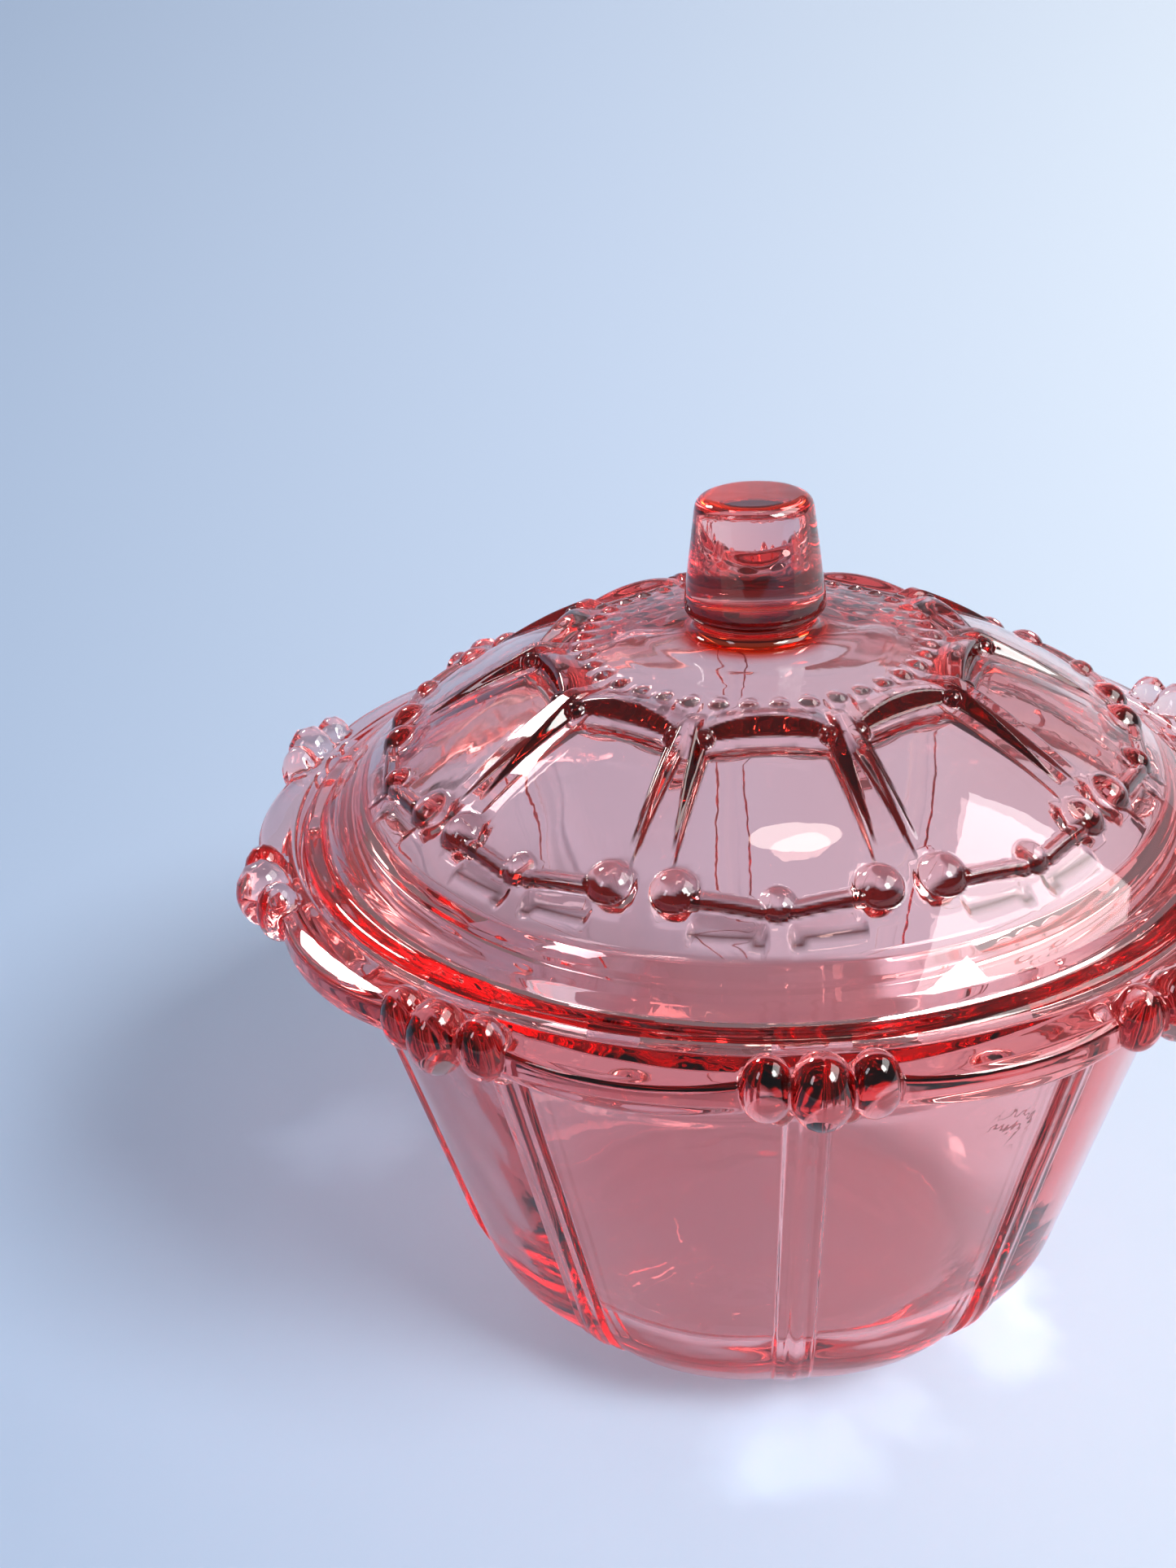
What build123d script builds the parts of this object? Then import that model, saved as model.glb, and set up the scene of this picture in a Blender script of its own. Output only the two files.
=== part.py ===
from build123d import *
from math import atan2, cos, degrees, radians, sin, sqrt
import os

# Covered glass candy dish, in millimetres. +Z is up and the origin is the centre of the foot.
# The dish is two pieces of pressed glass: an open bowl and a lid with its knob pressed in one.
# A rib, a pearl cluster and the middle of a lid panel all lie on the -Y side.

# Pattern around the dish
repeats = 10
beads_per_repeat = 4
front_angle = -90.0

# Bowl body
foot_radius = 31.0
foot_ring_width = 6.0
foot_recess_depth = 1.2
floor_thickness = 7.0
shoulder_radius = 48.4
shoulder_height = 26.0
seat_height = 78.4
bowl_wall = 3.4
rib_width = 3.8
rib_proud = 1.3
rib_start_height = 3.0

# Bowl rim
seat_width = 6.4
rim_wall = 2.2
rim_rise = 2.2
rim_drop = 5.8
rim_flare = 1.8
lobe_reach = 3.4
lobe_drop = 2.6
lobe_round = 1.9

# Pearl clusters on the rim
middle_pearl_radius = 3.5
middle_pearl_half_height = 4.7
side_pearl_radius = 2.75
side_pearl_half_height = 4.3
pearl_overhang = 3.0
side_pearl_inset = 1.1
side_pearl_spacing = 5.1
pearl_lift = 0.9

# Fit of the lid in the bowl
seat_gap = 0.1
flange_clearance = 1.0
ring_clearance = 0.9

# Lid
lid_radius = 65.0
flange_thickness = 2.6
flange_round = 1.0
flange_step = 3.5
dome_step = 1.3
dome_rise = 24.7
lid_wall = 3.2
ring_depth = 3.6
ring_thickness = 1.8

# Neck and knob
crown_radius = 24.0
neck_base_radius = 15.5
neck_base_rise = 1.1
neck_radius = 8.4
neck_height = 2.1
knob_base_radius = 9.85
knob_top_radius = 7.9
knob_height = 17.0
knob_base_round = 0.8
knob_top_round = 1.4

# Relief on the lid
bead_radius = 1.6
bead_sink = 0.3
relief_proud = 0.9
ridge_width = 1.5
ridge_inner_radius = 30.5
ridge_outer_radius = 46.0
ridge_angle = 14.8
arch_radius = 29.0
drop_radius = 2.5
drop_sink = 0.4
drop_ring_radius = 50.2
drop_angle = 13.5
middle_bead_radius = 2.0
bar_width = 1.6

# Worked out from the sizes above
mouth_radius = lid_radius - seat_width
recess_radius = lid_radius + flange_clearance
rim_radius = recess_radius + rim_wall
rim_top = seat_height + rim_rise
rim_bottom = seat_height - rim_drop
flange_bottom = seat_height + seat_gap
flange_top = flange_bottom + flange_thickness
dome_base_radius = lid_radius - flange_step
dome_base = flange_top + dome_step
dome_sphere = (dome_base_radius**2 + dome_rise**2) / (2 * dome_rise)
dome_center = dome_base + dome_rise - dome_sphere


def height_on_dome(radius, shrink=0.0):
    """Height of the dome's surface, or of one that lies inside it, at a distance from the axis."""
    return dome_center + sqrt((dome_sphere - shrink) ** 2 - radius**2)


def polar(radius, angle):
    """A point in the plan, its angle counted in degrees from the front of the dish."""
    return (
        radius * cos(radians(angle + front_angle)),
        radius * sin(radians(angle + front_angle)),
    )


# The bowl's side is a straight cone above the shoulder and one arc below it, down to the foot.
# The bowl's inside wall has the same lines, moved in by the wall.
side_run = seat_height - shoulder_height
side_slope = atan2(mouth_radius + bowl_wall - shoulder_radius, side_run)
belly_normal = (cos(side_slope), -sin(side_slope))
to_foot = (foot_radius - shoulder_radius, -shoulder_height)
belly_radius = -(to_foot[0] ** 2 + to_foot[1] ** 2) / (
    2 * (to_foot[0] * belly_normal[0] + to_foot[1] * belly_normal[1])
)
belly_center = (
    shoulder_radius - belly_radius * belly_normal[0],
    shoulder_height - belly_radius * belly_normal[1],
)


def side_point(height, grow=0.0):
    """A point on the straight side, at a height, with the side moved out by grow."""
    radius = shoulder_radius + (height - shoulder_height) * sin(side_slope) / cos(side_slope)
    return (radius + grow / cos(side_slope), height)


def belly_point(height, grow=0.0):
    """A point on the lower arc, at a height, with the arc moved out by grow."""
    reach = belly_radius + grow
    return (belly_center[0] + sqrt(reach**2 - (height - belly_center[1]) ** 2), height)


def shoulder_point(grow=0.0):
    """Where the arc meets the straight side."""
    return (
        shoulder_radius + grow * belly_normal[0],
        shoulder_height + grow * belly_normal[1],
    )


def side_lines(low, high, grow=0.0):
    """Draws the bowl's side from one height up to another, and gives its two ends."""
    start = belly_point(low, grow)
    shoulder = shoulder_point(grow)
    middle = belly_point((low + shoulder[1]) / 2, grow)
    end = side_point(high, grow)
    ThreePointArc(start, middle, shoulder)
    Line(shoulder, end)
    return start, end


def pearl(radius, half_height):
    """A tall pearl: an upright cylinder between two half balls."""
    straight = half_height - radius
    corner = radius * sqrt(0.5)
    with BuildPart() as solid:
        with BuildSketch(Plane.XZ):
            with BuildLine():
                ThreePointArc((0, half_height), (corner, straight + corner), (radius, straight))
                Line((radius, straight), (radius, -straight))
                ThreePointArc(
                    (radius, -straight), (corner, -straight - corner), (0, -half_height)
                )
                Line((0, -half_height), (0, half_height))
            make_face()
        revolve(axis=Axis.Z)
    return solid.part


# Ribs: the body's own shape, grown outwards, kept only in narrow upright bars
with BuildPart() as ribs:
    with BuildSketch(Plane.XZ):
        with BuildLine():
            low, high = side_lines(rib_start_height, rim_bottom, rib_proud)
            Polyline(high, (0, high[1]), (0, low[1]), low)
        make_face()
    revolve(axis=Axis.Z)
    with BuildSketch(Plane.XY):
        with PolarLocations(rim_radius / 2, repeats, start_angle=front_angle):
            Rectangle(rim_radius, rib_width)
    extrude(amount=rim_bottom, mode=Mode.INTERSECT)


# Bowl: body, rim band, scalloped lobes and pearls, then the hollow and the seat for the lid
with BuildPart() as bowl:
    with BuildSketch(Plane.XZ):
        with BuildLine():
            low, high = side_lines(0, rim_bottom - rim_flare)
            Polyline(
                high,
                (rim_radius - rim_wall, rim_bottom),
                (rim_radius, rim_bottom + rim_wall),
                (rim_radius, rim_top),
                (0, rim_top),
                (0, 0),
                low,
            )
        make_face()
    revolve(axis=Axis.Z)
    add(ribs.part)

    # Scalloped edge: one shallow lobe between each two clusters
    with BuildSketch(Plane.XY.offset(rim_top - rim_rise - lobe_drop)):
        with BuildLine():
            for number in range(repeats):
                pitch = 360 / repeats
                ThreePointArc(
                    polar(rim_radius, number * pitch),
                    polar(rim_radius + lobe_reach, (number + 0.5) * pitch),
                    polar(rim_radius, (number + 1) * pitch),
                )
        make_face()
    extrude(amount=rim_rise + lobe_drop)
    rim_faces = faces().filter_by(GeomType.PLANE).filter_by(Axis.Z).group_by(Axis.Z)[-1]
    outer_edges = rim_faces.edges().filter_by(lambda edge: edge.length > rib_width)
    fillet(outer_edges, lobe_round)

    # Three pearls over each rib, the middle one the largest
    middle_pearl = pearl(middle_pearl_radius, middle_pearl_half_height)
    side_pearl = pearl(side_pearl_radius, side_pearl_half_height)
    pearl_radius = rim_radius + pearl_overhang
    side_pearl_angle = degrees(side_pearl_spacing / pearl_radius)
    with Locations((0, 0, seat_height + pearl_lift)):
        with PolarLocations(pearl_radius, repeats, start_angle=front_angle):
            add(middle_pearl)
        for turn in (-side_pearl_angle, side_pearl_angle):
            with PolarLocations(
                pearl_radius - side_pearl_inset, repeats, start_angle=front_angle + turn
            ):
                add(side_pearl)

    # Hollow
    with BuildSketch(Plane.XZ):
        with BuildLine():
            low, high = side_lines(floor_thickness, seat_height, -bowl_wall)
            Polyline(high, (0, high[1]), (0, low[1]), low)
        make_face()
    revolve(axis=Axis.Z, mode=Mode.SUBTRACT)

    # Seat that the lid's flange rests on, open to the top past the pearls
    with BuildSketch(Plane.XY.offset(seat_height)):
        Circle(recess_radius)
    extrude(amount=rim_rise + middle_pearl_half_height, mode=Mode.SUBTRACT)

    # Recess under the foot, which leaves a ring to stand on
    with BuildSketch(Plane.XY):
        Circle(foot_radius - foot_ring_width)
    extrude(amount=foot_recess_depth, mode=Mode.SUBTRACT)


# Relief of the lid: a shell from inside the glass to just outside it, kept only in the ridges,
# arches and bars of ten panels
with BuildPart() as relief:
    with BuildSketch(Plane.XZ):
        with BuildLine():
            reach = dome_base_radius - relief_proud
            for shrink in (-relief_proud, lid_wall / 2):
                ThreePointArc(
                    (0, height_on_dome(0, shrink)),
                    (reach / 2, height_on_dome(reach / 2, shrink)),
                    (reach, height_on_dome(reach, shrink)),
                )
            for radius in (0, reach):
                Line(
                    (radius, height_on_dome(radius, -relief_proud)),
                    (radius, height_on_dome(radius, lid_wall / 2)),
                )
        make_face()
    revolve(axis=Axis.Z)
    with BuildSketch(Plane.XY.offset(dome_base)):
        for number in range(repeats):
            panel = number * 360 / repeats
            for hand in (-1, 1):
                with BuildLine():
                    Line(
                        polar(ridge_inner_radius, panel + hand * ridge_angle),
                        polar(ridge_outer_radius, panel + hand * ridge_angle),
                    )
                trace(line_width=ridge_width)
            for radius, middle, half, width in (
                (ridge_inner_radius, arch_radius, ridge_angle, ridge_width),
                (drop_ring_radius, drop_ring_radius, drop_angle, bar_width),
            ):
                with BuildLine():
                    ThreePointArc(
                        polar(radius, panel - half),
                        polar(middle, panel),
                        polar(radius, panel + half),
                    )
                trace(line_width=width)
    extrude(amount=dome_rise, mode=Mode.INTERSECT)


# Lid: dome, flange, locating ring, neck and solid knob in one revolved section, then its relief
with BuildPart() as lid:
    ring_bottom = flange_bottom - ring_depth
    ring_radius = side_point(ring_bottom, -bowl_wall)[0] - ring_clearance
    ring_inner_radius = ring_radius - ring_thickness
    crown_height = height_on_dome(crown_radius)
    neck_base = crown_height + neck_base_rise
    knob_bottom = neck_base + neck_height
    knob_top = knob_bottom + knob_height
    dome_middle = (crown_radius + dome_base_radius) / 2
    inside_middle = ring_inner_radius / 2
    neck_middle = (neck_base_radius + neck_radius) / 2
    with BuildSketch(Plane.XZ):
        with BuildLine():
            ThreePointArc(
                (0, dome_center + dome_sphere - lid_wall),
                (inside_middle, height_on_dome(inside_middle, lid_wall)),
                (ring_inner_radius, height_on_dome(ring_inner_radius, lid_wall)),
            )
            Polyline(
                (ring_inner_radius, height_on_dome(ring_inner_radius, lid_wall)),
                (ring_inner_radius, ring_bottom),
                (ring_radius, ring_bottom),
                (ring_radius, flange_bottom),
                (lid_radius, flange_bottom),
                (lid_radius, flange_top),
                (dome_base_radius, dome_base),
            )
            ThreePointArc(
                (dome_base_radius, dome_base),
                (dome_middle, height_on_dome(dome_middle)),
                (crown_radius, crown_height),
            )
            Line((crown_radius, crown_height), (neck_base_radius, neck_base))
            ThreePointArc(
                (neck_base_radius, neck_base),
                (neck_middle, neck_base + neck_height / 4),
                (neck_radius, knob_bottom),
            )
            Polyline(
                (neck_radius, knob_bottom),
                (knob_base_radius, knob_bottom + knob_base_round),
                (knob_top_radius, knob_top),
                (0, knob_top),
                (0, dome_center + dome_sphere - lid_wall),
            )
        make_face()
    revolve(axis=Axis.Z)
    knob_edges = edges().filter_by(GeomType.CIRCLE)
    fillet(knob_edges.group_by(Axis.Z)[-1], knob_top_round)
    flange_edges = edges().filter_by(GeomType.CIRCLE).filter_by(
        lambda edge: abs(edge.radius - lid_radius) < seat_gap
    )
    fillet(flange_edges, flange_round)
    add(relief.part)

    # Bead ring around the crown, and a drop at each lower corner of a panel with a bead between
    with Locations((0, 0, crown_height - bead_sink)):
        with PolarLocations(crown_radius, repeats * beads_per_repeat, start_angle=front_angle):
            Sphere(bead_radius)
    with Locations((0, 0, height_on_dome(drop_ring_radius) - drop_sink)):
        with PolarLocations(drop_ring_radius, repeats, start_angle=front_angle):
            Sphere(middle_bead_radius)
        for turn in (-drop_angle, drop_angle):
            with PolarLocations(drop_ring_radius, repeats, start_angle=front_angle + turn):
                Sphere(drop_radius)


os.makedirs("parts", exist_ok=True)
bowl.part.label = "bowl"
lid.part.label = "lid"
export_step(bowl.part, "parts/bowl.step")
export_step(lid.part, "parts/lid.step")
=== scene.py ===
import math

import bpy
import numpy as np
from mathutils import Matrix, Vector


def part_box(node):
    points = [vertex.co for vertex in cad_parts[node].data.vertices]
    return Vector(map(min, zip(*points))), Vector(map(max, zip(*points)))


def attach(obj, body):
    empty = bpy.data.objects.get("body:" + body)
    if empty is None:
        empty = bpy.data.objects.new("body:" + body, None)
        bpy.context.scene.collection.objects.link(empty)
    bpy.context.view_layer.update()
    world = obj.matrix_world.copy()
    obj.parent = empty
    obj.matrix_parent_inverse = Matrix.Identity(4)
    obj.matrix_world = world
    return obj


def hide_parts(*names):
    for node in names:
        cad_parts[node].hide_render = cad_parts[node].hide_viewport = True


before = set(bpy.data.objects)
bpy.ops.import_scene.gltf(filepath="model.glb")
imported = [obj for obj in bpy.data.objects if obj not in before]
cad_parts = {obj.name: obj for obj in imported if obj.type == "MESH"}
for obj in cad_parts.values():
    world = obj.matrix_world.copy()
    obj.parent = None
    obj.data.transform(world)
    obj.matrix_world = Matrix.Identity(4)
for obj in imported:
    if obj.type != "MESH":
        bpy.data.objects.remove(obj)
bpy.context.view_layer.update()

# Covered candy dish in pink pressed glass. Each of its two pieces is one closed mesh: a section
# that runs once round the glass, turned about the axis, with the pressed relief raised from it.
# Sections and relief are written in millimetres and the meshes are made in metres.
MM = 0.001
REPEATS = 10
PITCH = 360 / REPEATS

# Heights and radii that the frame gives
LID_LOW, LID_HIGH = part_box("lid")
KNOB_TOP = LID_HIGH[2] / MM
LID_RADIUS = LID_HIGH[0] / MM
RING_BOTTOM = LID_LOW[2] / MM

# The lid lies loose on its seat, turned a little from the pearls, in degrees
LID_TURN = -2.8

# Size of the surface unevenness; tints of the glass surface, clear and blush; and the deep red and
# amber of its painted shade
WAVE_HEIGHT = 0.02
CLEAR = np.array([1.0, 0.97, 0.97])
SHADE_RED = np.array([0.045, 0.0002, 0.0001])
SHADE_AMBER = np.array([0.75, 0.03, 0.003])
BLUSH = np.array([0.99, 0.80, 0.80])


# ---------------------------------------------------------------- sections

def rounded(corners, spacing):
    """Points along a line through corners (radius, height, rounding), each corner made an arc."""
    points = [np.array(corners[0][:2], float)]
    for index in range(1, len(corners) - 1):
        corner = np.array(corners[index][:2], float)
        back = np.array(corners[index - 1][:2], float) - corner
        ahead = np.array(corners[index + 1][:2], float) - corner
        back_length, ahead_length = np.linalg.norm(back), np.linalg.norm(ahead)
        back, ahead = back / back_length, ahead / ahead_length
        half = math.acos(np.clip(back @ ahead, -1, 1)) / 2
        reach = min(corners[index][2] / math.tan(half), 0.48 * back_length, 0.48 * ahead_length)
        rounding = reach * math.tan(half)
        if rounding < 1e-3:
            points.append(corner)
            continue
        middle = (back + ahead) / np.linalg.norm(back + ahead)
        center = corner + middle * rounding / math.sin(half)
        sweep = math.pi - 2 * half
        steps = max(5, int(rounding * sweep / spacing))
        start = corner + back * reach - center
        side = 1 if np.cross(back, ahead) > 0 else -1
        for step in range(steps + 1):
            turn = -side * sweep * step / steps
            points.append(center + Matrix.Rotation(turn, 2) @ Vector(start))
    points.append(np.array(corners[-1][:2], float))
    return np.array([[point[0], point[1]] for point in points])


def even(points, spacing):
    """The same line with its points spread evenly, about a spacing apart."""
    length = np.concatenate([[0], np.cumsum(np.linalg.norm(np.diff(points, axis=0), axis=1))])
    count = max(2, int(round(length[-1] / spacing)) + 1)
    along = np.linspace(0, length[-1], count)
    return np.stack([np.interp(along, length, points[:, k]) for k in (0, 1)], axis=1)


def arc(center_height, sphere, start_radius, end_radius, spacing):
    """Points on a dome centred on the axis, from one radius to another."""
    angles = [math.asin(r / sphere) for r in (start_radius, end_radius)]
    steps = max(4, int(abs(angles[1] - angles[0]) * sphere / spacing))
    angle = np.linspace(angles[0], angles[1], steps + 1)
    return np.stack([sphere * np.sin(angle), center_height + sphere * np.cos(angle)], axis=1)


def joined(*lines):
    """Lines set end to end, without their shared points."""
    points = np.concatenate(lines)
    apart = np.linalg.norm(np.diff(points, axis=0), axis=1) > 0.02
    return points[np.concatenate([[True], apart])]


def normals(section):
    """Directions out of the glass along a section that runs outwards, down and back in."""
    along = np.gradient(section, axis=0)
    along /= np.linalg.norm(along, axis=1)[:, None]
    return np.stack([-along[:, 1], along[:, 0]], axis=1)


# ---------------------------------------------------------------- relief

def ease(low, high, value):
    """Goes smoothly from 0 at low to 1 at high."""
    t = np.clip((value - low) / (high - low), 0, 1)
    return t * t * (3 - 2 * t)


def blend_max(a, b, soft):
    """The larger of two heights, with a small rounding where they cross."""
    mix = np.clip(0.5 + 0.5 * (a - b) / soft, 0, 1)
    return b + (a - b) * mix + soft * mix * (1 - mix)


def about_axis(turn):
    """The matrix of a turn about the axis, in radians."""
    cosine, sine = math.cos(turn), math.sin(turn)
    return np.array([[cosine, -sine, 0], [sine, cosine, 0], [0, 0, 1]])


def ball_reach(points, directions, center, radii, turn=0.0):
    """How far each surface point moves along its direction to reach an oval ball."""
    spin = about_axis(-turn)
    start = (points - center) @ spin.T / radii
    step = directions @ spin.T / radii
    a = (step * step).sum(-1)
    b = (start * step).sum(-1)
    c = (start * start).sum(-1) - 1
    inside = b * b - a * c
    reach = (-b + np.sqrt(np.maximum(inside, 0))) / a
    return np.where(inside > 0, np.maximum(reach, 0), 0)


def line_distance(x, y, start, end):
    """Distance to a straight line in the plan, and how far along it the nearest point lies."""
    dx, dy = end[0] - start[0], end[1] - start[1]
    t = np.clip(((x - start[0]) * dx + (y - start[1]) * dy) / (dx * dx + dy * dy), 0, 1)
    return np.hypot(x - start[0] - t * dx, y - start[1] - t * dy), t


def ridge(distance, half_width, height):
    """A rounded ridge."""
    return height * np.maximum(0, 1 - (distance / half_width) ** 2)


def crescent_shade(away, outwards, start):
    """Where painted dark shade lies on the steep outer side of a ball of relief: away is 1 at its
    edge.
    """
    lower = ease(start - 0.1, start + 0.15, outwards)
    return lower * ease(0.30, 0.45, away) * (1 - ease(1.04, 1.14, away))


def plan(radius, angle):
    """A point in the plan of one repeat, as (sideways, outwards)."""
    return radius * math.sin(math.radians(angle)), radius * math.cos(math.radians(angle))


def shifted_tint(tint_and_shading, color, amount):
    """The tint mixed towards another colour, used for the glass's own tints and for painted shade and
    light.
    """
    return tint_and_shading + (color - tint_and_shading) * np.clip(amount, 0, 1)[..., None]


# ---------------------------------------------------------------- turning a section into glass

def columns(fine, coarse, fine_half):
    """Angles in degrees across one repeat, closer together near its middle."""
    middle = np.arange(-fine_half, fine_half, fine)
    side = np.linspace(fine_half, PITCH / 2, int((PITCH / 2 - fine_half) / coarse) + 1)
    return np.concatenate([-side[:0:-1], middle, side[:-1]])


def flattened(grid):
    """A grid's rows as one list. Its first and last rows lie on the axis and give one entry each."""
    return np.concatenate([grid[:1, 0], grid[1:-1].reshape(-1, 3), grid[-1:, 0]])


def turned(name, section, angles, shape):
    """A closed mesh of one section turned about the axis and shaped by a relief function."""
    out = normals(section)
    angle, radius = np.meshgrid(angles, section[:, 0])
    height = np.broadcast_to(section[:, 1:], angle.shape)
    sine, cosine = np.sin(np.radians(angle)), np.cos(np.radians(angle))
    points = np.stack([radius * sine, -radius * cosine, height], axis=-1)
    rise = np.broadcast_to(out[:, 1:], angle.shape)
    ways = np.stack([out[:, :1] * sine, -out[:, :1] * cosine, rise], axis=-1)
    points, tint_and_shading = shape(points, ways, radius, height, angle)
    points[0, :, :2] = 0
    points[-1, :, :2] = 0

    turns = [math.radians(number * PITCH) for number in range(REPEATS)]
    whole = np.concatenate([points @ about_axis(turn).T for turn in turns], axis=1)
    vertices = flattened(waves(whole, out)) * MM
    rows, count = whole.shape[:2]
    first = 1 + np.arange((rows - 2) * count).reshape(rows - 2, count)
    beside = np.roll(first, -1, axis=1)
    quads = np.stack([first[:-1], first[1:], beside[1:], beside[:-1]], axis=-1).reshape(-1, 4)
    top = [(0, int(a), int(b)) for a, b in zip(first[0], beside[0])]
    last = len(vertices) - 1
    bottom = [(last, int(b), int(a)) for a, b in zip(first[-1], beside[-1])]
    mesh = bpy.data.meshes.new(name)
    mesh.from_pydata(vertices.tolist(), [], top + quads.tolist() + bottom)
    mesh.update()
    mesh.shade_smooth()

    # the colour per point holds the glass's tint and its painted shade and light
    tint_and_shading = flattened(np.concatenate([tint_and_shading] * REPEATS, axis=1))
    colors = np.concatenate([tint_and_shading, np.ones((len(tint_and_shading), 1))], axis=1).ravel()
    mesh.color_attributes.new("tint_and_shading", "FLOAT_COLOR", "POINT").data.foreach_set("color", colors)
    piece = bpy.data.objects.new(name, mesh)
    bpy.context.collection.objects.link(piece)
    return piece


def waves(points, out):
    """The slight unevenness of a pressed surface: long low waves, a few hundredths of a mm."""
    x, y, z = points[..., 0], points[..., 1], points[..., 2]
    angle = np.arctan2(y, x)
    radius = np.hypot(x, y)
    wave = (
        np.sin(0.31 * x + 0.17 * z + 0.4)
        + np.sin(0.27 * y - 0.21 * z + 1.7)
        + 0.7 * np.sin(7 * angle + 0.19 * radius)
        + 0.5 * np.sin(0.52 * (x - y) + 0.33 * z)
    )
    size = WAVE_HEIGHT * np.clip(radius / 8, 0, 1) * ease(0.5, 4, z) * wave
    outwards = size * out[:, :1] / np.maximum(radius, 1e-6)
    return points + np.stack([outwards * x, outwards * y, size * out[:, 1:]], axis=-1)


# ---------------------------------------------------------------- lid

DOME_CENTER = 18.2
DOME_SPHERE = 88.9
DOME_EDGE = 60.8
LID_WALL = 3.2
CROWN_RADIUS = 24.0
KNOB_FOOT = 107.1
FLANGE_TOP = 81.1
FLANGE_BOTTOM = 78.5
RING_OUTER = 56.8
RING_INNER = 55.2
HOLLOW_RADIUS = 54.6

# Relief of the lid: beads in each repeat, and half a panel as an angle in degrees
BEADS = 4
BEAD_RADIUS = 1.35
BEAD_HEIGHT = 0.6
PANEL_HALF = 14.8
BAR_HEIGHT = 1.8
ARCH_RADIUS = 29.0
ARCH_HEIGHT = 1.9
LINK_WIDTH = 0.95
LINK_HEIGHT = 0.9


def dome_height(radius, sink=0.0):
    """Height of the dome at a radius, on its surface or on a sphere that much smaller."""
    return DOME_CENTER + math.sqrt((DOME_SPHERE - sink) ** 2 - radius**2)


def lid_section():
    """From the top of the knob over the dome and flange, round the ring and back inside."""
    knob = rounded(
        [
            (0, KNOB_TOP, 0),
            (7.8, KNOB_TOP - 0.1, 1.9),
            (9.9, KNOB_FOOT + 1.1, 1.5),
            (8.2, KNOB_FOOT, 0.7),
            (8.6, KNOB_FOOT - 1.8, 1.4),
            (15.5, KNOB_FOOT - 2.1, 9),
            (CROWN_RADIUS, dome_height(CROWN_RADIUS), 0),
        ],
        0.3,
    )
    dome = arc(DOME_CENTER, DOME_SPHERE, CROWN_RADIUS, DOME_EDGE, 0.3)
    flange = rounded(
        [
            (DOME_EDGE, dome_height(DOME_EDGE), 0),
            (62.0, FLANGE_TOP + 0.1, 0.8),
            (LID_RADIUS, FLANGE_TOP, 1.2),
            (LID_RADIUS, FLANGE_BOTTOM, 1.0),
            (RING_OUTER + 0.1, FLANGE_BOTTOM, 0.8),
            (RING_OUTER, RING_BOTTOM, 0.8),
            (RING_INNER, RING_BOTTOM, 0.8),
            (HOLLOW_RADIUS, dome_height(HOLLOW_RADIUS, LID_WALL), 0),
        ],
        0.3,
    )
    inside = arc(DOME_CENTER, DOME_SPHERE - LID_WALL, HOLLOW_RADIUS, 0, 1.1)
    return joined(even(knob, 0.5), dome, even(flange, 0.4), inside)


def on_dome(radius, angle, sink):
    """A point a little under the dome's surface."""
    share = 1 - sink / DOME_SPHERE
    across, outwards = plan(radius * share, angle)
    return np.array([across, -outwards, dome_height(radius * share, sink)])


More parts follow.
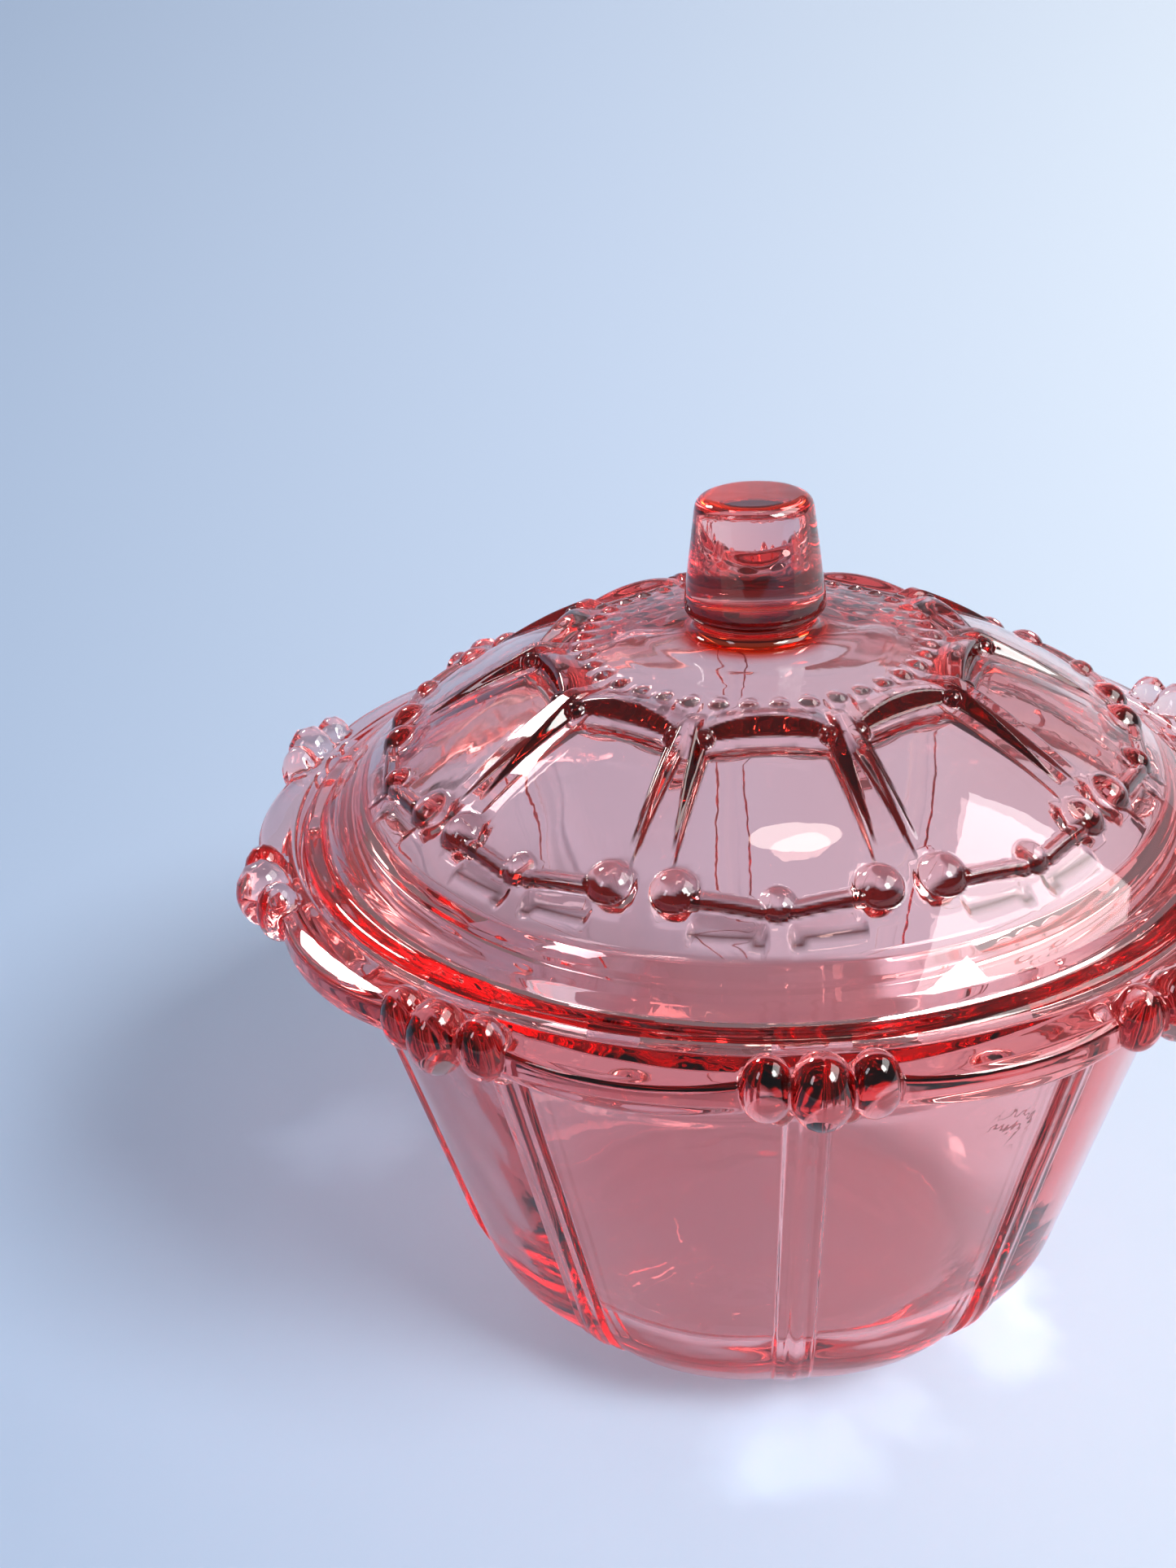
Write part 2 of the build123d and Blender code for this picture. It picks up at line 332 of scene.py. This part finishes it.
def lid_relief(points, ways, radius, height, angle):
    """Beads round the crown; ten panels with a steep edge at the sides, an arch, and drops below;
    painted dark shade on the relief's steep sides and on the knob.
    """
    x = radius * np.sin(np.radians(angle))
    y = radius * np.cos(np.radians(angle))
    outside = (height > FLANGE_TOP) & (radius > 20)
    raised = np.zeros_like(radius)

    # ring of small beads
    # painted shade: a mask of dark red along the steep sides of the relief, built up below
    painted_shade = np.zeros_like(radius)
    for number in range(BEADS):
        center_x, center_y = plan(CROWN_RADIUS, PITCH * ((number + 0.5) / BEADS - 0.5))
        away = np.hypot(x - center_x, y - center_y) / BEAD_RADIUS
        raised = np.maximum(raised, ridge(away, 1.0, BEAD_HEIGHT))
        # painted dark shade on the lower, steep side of each bead
        painted_shade = np.maximum(painted_shade, 0.8 * crescent_shade(away, (y - center_y) / BEAD_RADIUS, 0.3))

    # bar between two panels: steep beside the panel, and sinking into the dome as it runs out
    tall = BAR_HEIGHT * np.clip((47.0 - radius) / 16.5, 0, 1)
    edge = radius * np.sin(np.radians(PANEL_HALF - np.abs(angle)))
    wide = 0.2 + 0.85 * tall
    start = ease(28.5, 30.5, radius)
    bar = tall * (1 - ease(-0.5, 0.5, edge / wide)) * ease(25.5, 30.0, radius)
    raised = blend_max(raised, bar, 0.05)
    # painted dark shade along the bar's steep sides
    side = 1 - ease(0.50, 0.66, np.abs(edge) / wide)
    painted_shade = np.maximum(painted_shade, side * start * ease(0.05, 0.25, tall))

    # arch over the panel: steep towards the panel, tallest in its middle, easing off inwards
    half_span = plan(30.5, PANEL_HALF)[0]
    reach = np.clip(np.abs(x) / half_span, 0, 1.2)
    tall = ARCH_HEIGHT - 0.9 * reach**2
    below = y - (ARCH_RADIUS + 0.7 * reach**2)
    wide = 0.2 + 0.85 * tall
    ends = 1 - ease(0.94, 1.08, reach)
    arch = tall * (1 - ease(-0.5, 0.5, below / wide)) * ease(-5.0, -0.8, below)
    raised = blend_max(raised, arch * ends, 0.05)
    # painted dark shade along the arch's steep side
    painted_shade = np.maximum(painted_shade, (1 - ease(0.50, 0.66, np.abs(below) / wide)) * ends)

    # ball-shaped relief: a bead at each upper corner, a drop at each lower one, a bead between
    balls = [(30.9, hand * 14.6, 1.5, 0.0) for hand in (-1, 1)]
    balls += [(50.4, hand * 13.5, 3.3, 1.6) for hand in (-1, 1)]
    balls += [(51.5, 0.0, 2.5, 1.1)]
    for ring, turn, size, sink in balls:
        center = on_dome(ring, turn, sink)
        reach = ball_reach(points, ways, center, np.array([size] * 3))
        raised = blend_max(raised, reach, 0.08)
        foot = math.sqrt(size**2 - sink**2)
        away = np.linalg.norm(points - on_dome(ring, turn, 0), axis=-1) / foot
        outwards = (y - plan(ring, turn)[1]) / foot
        # painted dark shade on the ball's steep outer side
        painted_shade = np.maximum(painted_shade, crescent_shade(away, outwards, 0.15))

    # bars from the drops to the middle bead
    for hand in (-1, 1):
        start, end = plan(51.3, hand * 10.6), plan(52.1, hand * 2.2)
        distance, along = line_distance(x, y, start, end)
        raised = blend_max(raised, ridge(distance, LINK_WIDTH, LINK_HEIGHT), 0.08)
        below = y - start[1] - along * (end[1] - start[1])
        # painted dark shade along the lower side of each bar
        painted_shade = np.maximum(painted_shade, (1 - ease(0.85, 1.05, distance)) * ease(-0.3, 0.1, below))

    raised = np.where(outside, raised, 0)
    tint_and_shading = CLEAR + np.zeros_like(points)
    # the steep sides of the relief get painted dark red shade
    tint_and_shading = shifted_tint(tint_and_shading, SHADE_RED, np.where(outside, painted_shade, 0))

    # painted shade: a deep red band at the foot of the knob, and amber on the neck under it
    knob = (radius < 13) & (height > 100)
    above = height - KNOB_FOOT
    shade_band = ease(-0.1, 0.3, above) * (1 - ease(3.1, 3.8, above))
    neck_shade = 1 - ease(-0.3, 0.1, above)
    tint_and_shading = shifted_tint(tint_and_shading, SHADE_RED, np.where(knob, shade_band, 0))
    tint_and_shading = shifted_tint(tint_and_shading, SHADE_AMBER, np.where(knob, neck_shade * (1 - ease(9.5, 12.5, radius)), 0))
    return points + ways * raised[..., None], tint_and_shading


# ---------------------------------------------------------------- bowl

SEAT = 78.4
SEAT_INNER = 58.6
SEAT_OUTER = 65.6
RIM_TOP = 80.6
RIM_RADIUS = 69.1
LOBE = 2.6
BODY_TOP = 70.6
FLOOR_TOP = 7.0
FOOT_OUTER = 31.0
FOOT_INNER = 28.0
RECESS = 1.3


def bowl_section():
    """From the middle of the bowl's floor up the inside, over seat and rim, and down to the foot."""
    inside = rounded([(0, FLOOR_TOP, 0), (40.0, FLOOR_TOP, 20), (SEAT_INNER, SEAT, 0)], 0.5)
    inside = inside[inside[:, 1] < SEAT - 10]
    seat = rounded(
        [
            (SEAT_INNER - 2.6, SEAT - 10, 0),
            (SEAT_INNER, SEAT, 0.8),
            (SEAT_OUTER, SEAT, 0.9),
            (SEAT_OUTER + 0.4, RIM_TOP, 0.7),
            (SEAT_OUTER + 2.0, RIM_TOP - 0.3, 2.5),
            (RIM_RADIUS, RIM_TOP - 0.3, 2.0),
            (RIM_RADIUS, RIM_TOP - 4.4, 2.0),
            (66.6, RIM_TOP - 5.4, 1.2),
            (65.8, RIM_TOP - 7.8, 1.4),
            (60.4, BODY_TOP - 0.4, 2.6),
            (59.0, 65.4, 0),
        ],
        0.2,
    )
    body = rounded(
        [(59.0, 65.4, 0), (44.3, 10.1, 47.5), (FOOT_OUTER, 0, 1.2), (FOOT_INNER, 0, 0)], 0.4
    )
    foot = rounded([(FOOT_INNER, 0, 0), (25.0, 0, 9), (14.0, RECESS, 30), (0, RECESS, 0)], 0.4)
    return joined(even(inside, 1.1), even(seat, 0.3), even(body, 0.6), even(foot, 1.0))


def bowl_relief(points, ways, radius, height, angle):
    """Scalloped lobes, pearls, hanging drops, ribs and the slight swell of the panels between."""
    across = np.abs(angle) / (PITCH / 2)
    sine, cosine = np.sin(np.radians(angle)), np.cos(np.radians(angle))

    # lobes of the rim: everything beyond the crest moves out between the clusters
    lobe = 1 - (1 - across) ** 2
    rim = (height > BODY_TOP + 1) & (radius > 66)
    out = np.where(rim, LOBE * lobe * ease(66.9, 68.7, radius), 0)
    sink = np.where(rim, 0.9 * lobe * ease(67.2, 68.9, radius), 0)

    # panels swell between the ribs, and the ribs stand out
    below = (height < BODY_TOP) & (ways[..., 0] * sine - ways[..., 1] * cosine > 0.2) & (height > 0.3)
    fade = ease(0.5, 10, height) * (1 - ease(BODY_TOP - 4, BODY_TOP, height))
    swell = 1.2 * (1 - (1 - across) ** 2.2) * fade
    sideways = radius * np.abs(sine)
    rib_fade = ease(2.0, 14, height) * (1 - ease(BODY_TOP + 3, BODY_TOP + 4, height))
    rib = (1.1 * (1 - ease(2.2, 3.2, sideways)) + ridge(sideways, 1.1, 0.3)) * rib_fade
    out = out + np.where(below, blend_max(swell, rib, 0.25), 0)

    move = np.stack([sine * out, -cosine * out, -sink], axis=-1)
    points = points + move

    # pearls, and the small drops under the rim
    raised = np.zeros_like(radius)
    near_rim = (height > BODY_TOP - 3) & (radius > 59)
    # as ring radius, angle, height, and half sizes along the rim, outwards and up
    balls = [(71.2, 0.0, 79.2, (3.6, 3.7, 4.8))]
    balls += [(70.4, hand * 4.7, 79.1, (3.0, 2.9, 4.2)) for hand in (-1, 1)]
    balls += [(64.6, hand * PITCH / 2, 72.6, (2.2, 2.4, 1.9)) for hand in (1, -1)]
    balls += [(64.4, hand * 3.4, 72.3, (1.9, 2.2, 2.2)) for hand in (1, -1)]
    for ring, turn, high, radii in balls:
        bearing = math.radians(turn)
        center = np.array([ring * math.sin(bearing), -ring * math.cos(bearing), high])
        reach = ball_reach(points, ways, center, np.array(radii), bearing)
        raised = blend_max(raised, np.minimum(reach, 7), 0.12)
    raised = np.where(near_rim, raised, 0)
    # painted light: the bowl's surface is tinted blush and the pearls are left clear, so the pearls
    # show paler than the rest of the glass
    tint_and_shading = shifted_tint(CLEAR + np.zeros_like(points), BLUSH, 1 - ease(0.1, 1.2, raised))
    return points + ways * raised[..., None], tint_and_shading


# ---------------------------------------------------------------- glass

def noise(nodes, links, place, scale, detail):
    """Noise over an object's own coordinates."""
    node = nodes.new("ShaderNodeTexNoise")
    node.inputs["Scale"].default_value = scale
    node.inputs["Detail"].default_value = detail
    links.new(place.outputs["Object"], node.inputs["Vector"])
    return node


def remapped(nodes, links, source, before, after=(0.0, 1.0), blend="LINEAR"):
    """A value that follows its source from one range to another and stops at both ends."""
    node = nodes.new("ShaderNodeMapRange")
    node.interpolation_type = blend
    node.inputs["From Min"].default_value, node.inputs["From Max"].default_value = before
    node.inputs["To Min"].default_value, node.inputs["To Max"].default_value = after
    links.new(source, node.inputs["Value"])
    return node.outputs["Result"]


def pressed_glass(name, strength):
    """Pink glass that deepens to red with depth, with a faint ripple and handling marks."""
    glass = bpy.data.materials.new(name)
    glass.use_nodes = True
    nodes, links = glass.node_tree.nodes, glass.node_tree.links
    nodes.clear()
    output = nodes.new("ShaderNodeOutputMaterial")
    shader = nodes.new("ShaderNodeBsdfPrincipled")
    tint_and_shading = nodes.new("ShaderNodeAttribute")
    tint_and_shading.attribute_name = "tint_and_shading"
    links.new(tint_and_shading.outputs["Color"], shader.inputs["Base Color"])
    shader.inputs["Transmission Weight"].default_value = 1.0
    shader.inputs["IOR"].default_value = 1.5
    links.new(shader.outputs["BSDF"], output.inputs["Surface"])

    depth = nodes.new("ShaderNodeVolumeAbsorption")
    depth.inputs["Color"].default_value = (0.985, 0.25, 0.22, 1)
    depth.inputs["Density"].default_value = strength
    links.new(depth.outputs["Volume"], output.inputs["Volume"])

    place = nodes.new("ShaderNodeTexCoord")
    smudge = noise(nodes, links, place, 55.0, 6.0)
    polish = remapped(nodes, links, smudge.outputs["Fac"], (0.45, 0.8), (0.0, 0.08))
    links.new(polish, shader.inputs["Roughness"])

    ripple = noise(nodes, links, place, 130.0, 3.0)
    bump = nodes.new("ShaderNodeBump")
    bump.inputs["Strength"].default_value = 0.25
    bump.inputs["Distance"].default_value = 0.0001
    links.new(ripple.outputs["Fac"], bump.inputs["Height"])
    links.new(bump.outputs["Normal"], shader.inputs["Normal"])
    return glass


def add_piece(node, piece, glass):
    """Gives a piece its glass and ties it to its node of the frame."""
    piece.data.materials.append(glass)
    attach(piece, node)
    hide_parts(node)


lid = turned("pressed_lid", lid_section(), columns(0.28, 0.28, 9), lid_relief)
bowl = turned("pressed_bowl", bowl_section(), columns(0.2, 0.4, 7.4), bowl_relief)
lid.data.transform(Matrix.Rotation(math.radians(LID_TURN), 4, "Z"))
add_piece("lid", lid, pressed_glass("pink_lid_glass", 48.0))
add_piece("bowl", bowl, pressed_glass("pink_bowl_glass", 54.0))


# ---------------------------------------------------------------- studio

# painted light: the sheet's own glow lifts its shadows
SHEET_GLOW = 0.28
WAVER = 0.024

def sheet_light_gradient(nodes, links, place):
    """Painted light: blue on the left and paler to the right, as if lit from the right, in bands that
    fan out towards the back.
    """
    axes = nodes.new("ShaderNodeSeparateXYZ")
    links.new(place.outputs["Object"], axes.inputs["Vector"])
    away = nodes.new("ShaderNodeMath")
    away.operation = "ADD"
    away.inputs[1].default_value = 0.5
    links.new(axes.outputs["Y"], away.inputs[0])
    across = nodes.new("ShaderNodeMath")
    across.operation = "DIVIDE"
    links.new(axes.outputs["X"], across.inputs[0])
    links.new(away.outputs["Value"], across.inputs[1])
    painted_light_tone = nodes.new("ShaderNodeValToRGB")
    shift = remapped(nodes, links, across.outputs["Value"], (-0.40, 0.35))
    links.new(shift, painted_light_tone.inputs["Fac"])
    ramp = painted_light_tone.color_ramp.elements
    ramp[0].color = (0.32, 0.43, 0.62, 1)
    ramp[1].color = (0.80, 0.87, 0.97, 1)
    middle = ramp.new(0.52)
    middle.color = (0.56, 0.66, 0.84, 1)
    return painted_light_tone.outputs["Color"]


def sheet_glow(nodes, links, place):
    """Painted light: an even glow, with painted patches for the light that the dish gathers by its
    foot.
    """
    ripple = noise(nodes, links, place, 60.0, 2.0)
    waver = nodes.new("ShaderNodeVectorMath")
    waver.operation = "MULTIPLY_ADD"
    waver.inputs[1].default_value = (WAVER, WAVER, 0.0)
    links.new(ripple.outputs["Color"], waver.inputs[0])
    links.new(place.outputs["Object"], waver.inputs[2])
    # as x, y and radius in metres, and strength
    patches = [
        (0.034, -0.025, 0.013, 0.26),
        (0.038, -0.017, 0.010, 0.20),
        (0.002, -0.045, 0.014, 0.22),
        (-0.008, -0.048, 0.010, 0.16),
        (0.018, -0.042, 0.010, 0.16),
        (-0.072, 0.030, 0.018, 0.10),
    ]
    glow = None
    for x, y, radius, power in patches:
        near = nodes.new("ShaderNodeVectorMath")
        near.operation = "DISTANCE"
        near.inputs[1].default_value = (x + WAVER / 2, y + WAVER / 2, 0.0)
        links.new(waver.outputs["Vector"], near.inputs[0])
        reach = (0.2 * radius, radius)
        fall = remapped(nodes, links, near.outputs["Value"], reach, (power, 0.0), "SMOOTHSTEP")
        total = nodes.new("ShaderNodeMath")
        total.operation = "ADD"
        total.inputs[1].default_value = SHEET_GLOW
        links.new(fall, total.inputs[0])
        if glow:
            links.new(glow, total.inputs[1])
        glow = total.outputs["Value"]
    return glow


def lit_sheet():
    """A matt sheet that also glows a little by itself: painted light that lifts its shadows."""
    paint = bpy.data.materials.new("pale_sheet")
    paint.use_nodes = True
    nodes, links = paint.node_tree.nodes, paint.node_tree.links
    shader = nodes["Principled BSDF"]
    shader.inputs["Roughness"].default_value = 0.8
    place = nodes.new("ShaderNodeTexCoord")
    painted_light_tone = sheet_light_gradient(nodes, links, place)
    # the painted light gradient colours the sheet and its glow
    links.new(painted_light_tone, shader.inputs["Base Color"])
    links.new(painted_light_tone, shader.inputs["Emission Color"])
    links.new(sheet_glow(nodes, links, place), shader.inputs["Emission Strength"])
    return paint


def studio_floor():
    """A pale sheet, flat under the dish and rising slowly behind it."""
    half, front, bend, low = 4.0, -1.6, 0.3, -0.0002
    line = [(front, low), (bend, low)]
    for step in range(1, 29):
        behind = 0.15 * step
        line.append((bend + behind, low + 0.1 * behind**2))
    vertices = [(side, y, z) for y, z in line for side in (-half, half)]
    faces = [(2 * k, 2 * k + 1, 2 * k + 3, 2 * k + 2) for k in range(len(line) - 1)]
    mesh = bpy.data.meshes.new("floor")
    mesh.from_pydata(vertices, [], faces)
    mesh.shade_smooth()
    floor = bpy.data.objects.new("floor", mesh)
    bpy.context.collection.objects.link(floor)
    mesh.materials.append(lit_sheet())


def softbox(name, place, size, power, color, shape="RECTANGLE", lights_floor=True):
    """A lamp panel aimed at the dish. One that doesn't light the floor only shows as a reflection."""
    lamp = bpy.data.lights.new(name, "AREA")
    lamp.shape = shape
    lamp.size, lamp.size_y = size
    lamp.energy = power
    lamp.color = color
    box = bpy.data.objects.new(name, lamp)
    box.location = place
    aim = Vector((0, 0, 0.08)) - Vector(place)
    box.rotation_euler = aim.to_track_quat("-Z", "Y").to_euler()
    box.visible_diffuse = lights_floor
    bpy.context.collection.objects.link(box)


def studio_lights():
    """A dim pale world, a key lamp at the right, and lamps that show as the glass's highlights."""
    world = bpy.data.worlds.new("studio")
    world.use_nodes = True
    world.node_tree.nodes["Background"].inputs["Color"].default_value = (0.78, 0.82, 0.92, 1)
    world.node_tree.nodes["Background"].inputs["Strength"].default_value = 0.28
    bpy.context.scene.world = world
    softbox("key", (2.6, -2.2, 3.2), (1.6, 1.6), 182, (0.97, 1.0, 0.98))
    reflected = [
        ("window", (3.5, -0.7, 3.5), (4.6, 2.6), 240, (1.0, 0.95, 0.94), "RECTANGLE"),
        ("overhead", (0.17, 0.02, 1.5), (0.15, 0.34), 1.2, (1.0, 0.84, 0.74), "ELLIPSE"),
        ("back_left", (-1.3, 1.65, 1.75), (0.5, 0.5), 30, (1.0, 0.96, 0.93), "RECTANGLE"),
        ("front_left", (-1.5, -1.0, 1.3), (0.4, 0.8), 8, (0.93, 0.90, 1.0), "RECTANGLE"),
    ]
    for lamp in reflected:
        softbox(*lamp, lights_floor=False)


def studio_camera():
    """The camera stands close in front of the dish and looks down over its rim."""
    place = Vector((-0.0202, -0.2142, 0.1852))
    target = Vector((-0.0242, -0.0005, 0.0826))
    roll = math.radians(-3.26)
    data = bpy.data.cameras.new("camera")
    data.sensor_width = 36.0
    data.lens = 37.86
    data.clip_start = 0.01
    camera = bpy.data.objects.new("camera", data)
    ahead = (target - place).normalized()
    level = ahead.cross(Vector((0, 0, 1))).normalized()
    above = level.cross(ahead)
    right = level * math.cos(roll) + above * math.sin(roll)
    up = right.cross(ahead)
    turn = Matrix((right, up, -ahead)).transposed()
    camera.matrix_world = Matrix.Translation(place) @ turn.to_4x4()
    bpy.context.collection.objects.link(camera)
    bpy.context.scene.camera = camera


studio_floor()
studio_lights()
studio_camera()
scene = bpy.context.scene
scene.view_settings.view_transform = "Standard"
scene.cycles.max_bounces = 40
scene.cycles.transmission_bounces = 40
scene.cycles.glossy_bounces = 12
